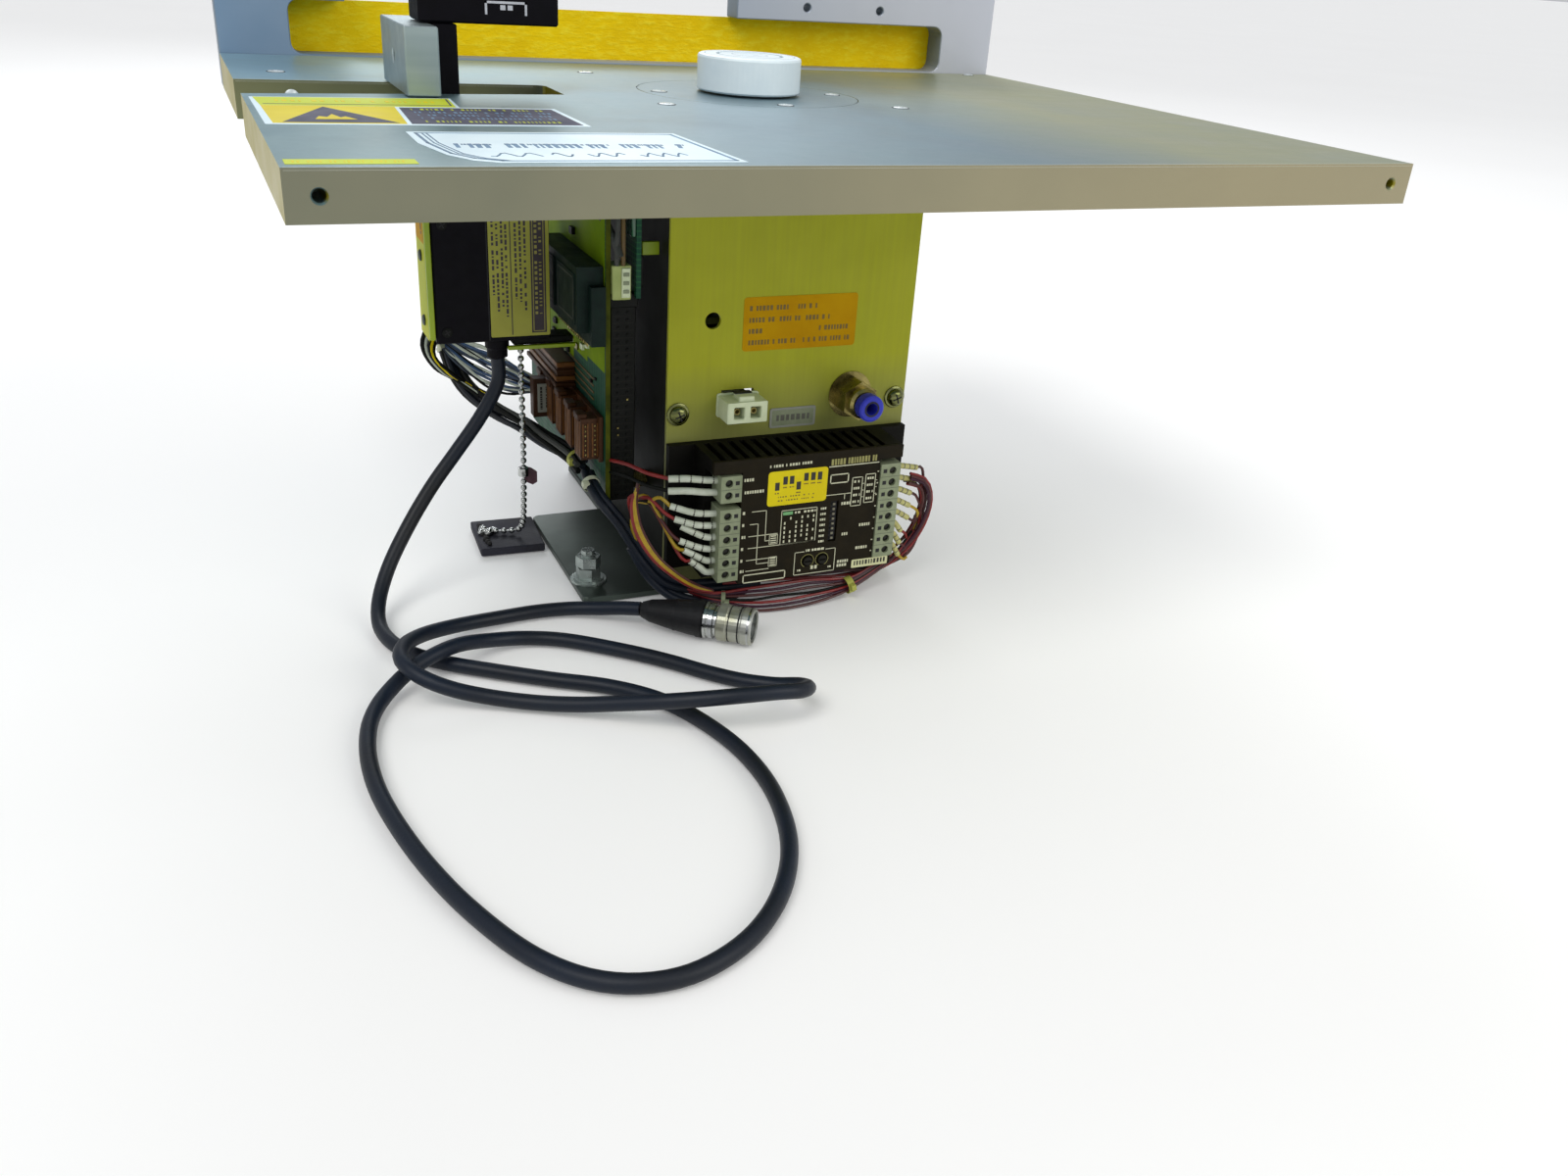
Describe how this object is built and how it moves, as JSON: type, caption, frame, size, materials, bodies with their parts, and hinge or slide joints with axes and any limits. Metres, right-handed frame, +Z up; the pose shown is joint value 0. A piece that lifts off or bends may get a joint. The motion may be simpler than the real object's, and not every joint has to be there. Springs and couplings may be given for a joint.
{
  "type": "wafer alignment unit",
  "caption": "Bench alignment unit: square plate with a vacuum spindle, a forked edge sensor, a rear plate, a housing with a step driver, and a sensor lead.",
  "frame": {"origin": "middle of the unit's outline, at the underside of the base plate on the table", "axes": "+X to the right seen from the driver side, +Y back towards the rear plate, +Z up along the spindle"},
  "size_m": [0.33, 0.3536, 0.234],
  "materials": {
    "aluminium": "clear anodised, fine satin",
    "rear_aluminium": "clear anodised, satin",
    "pulley_aluminium": "turned, satin",
    "yellow_strip": "mottled mustard sheet",
    "ground_steel": "ground and polished",
    "zinc_steel": "zinc plated",
    "white_plastic": "turned white acetal",
    "belt_rubber": "moulded, matt",
    "black_plastic": "moulded, fine texture",
    "sensor_black": "moulded, satin",
    "motor_case": "black painted, laminated steel",
    "black_anodised": "black anodised",
    "passivated_panel": "yellow passivated sheet",
    "bright_plating": "nickel plated",
    "cream_nylon": "natural nylon",
    "plated_brass": "nickel plated brass, worn",
    "blue_plastic": "moulded, satin",
    "green_board": "solder resist",
    "brown_connector": "moulded",
    "driver_case": "brown-black painted",
    "grey_terminal": "moulded",
    "cable_jacket": "blue-black jacket",
    "wire_bundle": "dark insulated wires",
    "wire_loom": "red and brown insulated wires"
  },
  "bodies": {
    "root": {"top_plate": "aluminium", "rear_plate": "rear_aluminium", "rear_backing_strip": "yellow_strip", "spindle_housing": "aluminium", "bearing_upper": "ground_steel", "bearing_lower": "ground_steel", "timing_belt": "belt_rubber", "home_sensor": "black_plastic", "motor_bracket": "aluminium", "stepper_motor": "motor_case", "rotary_union": "pulley_aluminium", "side_plate_left": "black_anodised", "side_plate_right": "black_anodised", "front_panel": "passivated_panel", "base_plate": "zinc_steel", "base_stud": "zinc_steel", "panel_screw_left": "bright_plating", "panel_screw_right": "bright_plating", "power_connector": "cream_nylon", "bulkhead_fitting": "plated_brass", "sensor_mount_bar": "aluminium", "sensor_column": "sensor_black", "sensor_head": "sensor_black", "sensor_body": "sensor_black", "sensor_side_plate": "passivated_panel", "sensor_foot": "black_plastic", "circuit_board": "green_board", "standoff_front_low": "plated_brass", "standoff_front_high": "plated_brass", "standoff_back_low": "plated_brass", "standoff_back_high": "plated_brass", "side_header": "black_plastic", "cream_header": "cream_nylon", "riser_board": "green_board", "main_header": "black_plastic", "cable_header_row": "brown_connector", "driver_heatsink": "driver_case", "driver_face": "driver_case", "terminals_power": "grey_terminal", "terminals_motor": "grey_terminal", "terminals_signal": "grey_terminal", "sensor_cable": "cable_jacket", "plug_boot": "cable_jacket", "plug_body": "bright_plating", "bead_chain": "bright_plating", "chain_plate": "black_plastic", "harness_upper": "wire_bundle", "harness_lower": "wire_loom", "vacuum_tube": "blue_plastic"},
    "spindle": {"vacuum_chuck": "white_plastic", "spindle_shaft": "ground_steel", "driven_pulley": "pulley_aluminium", "home_flag": "zinc_steel"},
    "motor_rotor": {"motor_shaft": "ground_steel", "motor_pulley": "pulley_aluminium"},
    "release_ring": {"fitting_collar": "blue_plastic"},
    "adjuster_current": {"trimmer_current": "white_plastic"},
    "adjuster_hold": {"trimmer_hold": "white_plastic"},
    "plug_lock": {"plug_sleeve": "bright_plating"}
  },
  "joints": [
    {"name": "chuck_spin", "type": "hinge", "parent": "root", "child": "spindle", "pos_m": [0.0056, 0.0227, 0.17], "axis": [0, 0, 1], "continuous": true},
    {"name": "motor_spin", "type": "hinge", "parent": "root", "child": "motor_rotor", "pos_m": [0.0056, 0.0732, 0.11], "axis": [0, 0, 1], "continuous": true},
    {"name": "ring_press", "type": "slide", "parent": "root", "child": "release_ring", "axis": [0, 1, 0], "range_m": [0, 0.0012], "stiffness_N_per_m": 900},
    {"name": "current_turn", "type": "hinge", "parent": "root", "child": "adjuster_current", "pos_m": [0.0064, -0.0519, 0.0186], "axis": [0, -1, 0], "range_deg": [-135, 135]},
    {"name": "hold_turn", "type": "hinge", "parent": "root", "child": "adjuster_hold", "pos_m": [0.0122, -0.0519, 0.0186], "axis": [0, -1, 0], "range_deg": [-135, 135]},
    {"name": "plug_sleeve_slide", "type": "slide", "parent": "root", "child": "plug_lock", "axis": [-0.8039, 0.5948, 0], "range_m": [0, 0.001], "stiffness_N_per_m": 600}
  ],
  "couplings": [
    {"joint": "motor_spin", "follows": "chuck_spin", "ratio": 2}
  ]
}
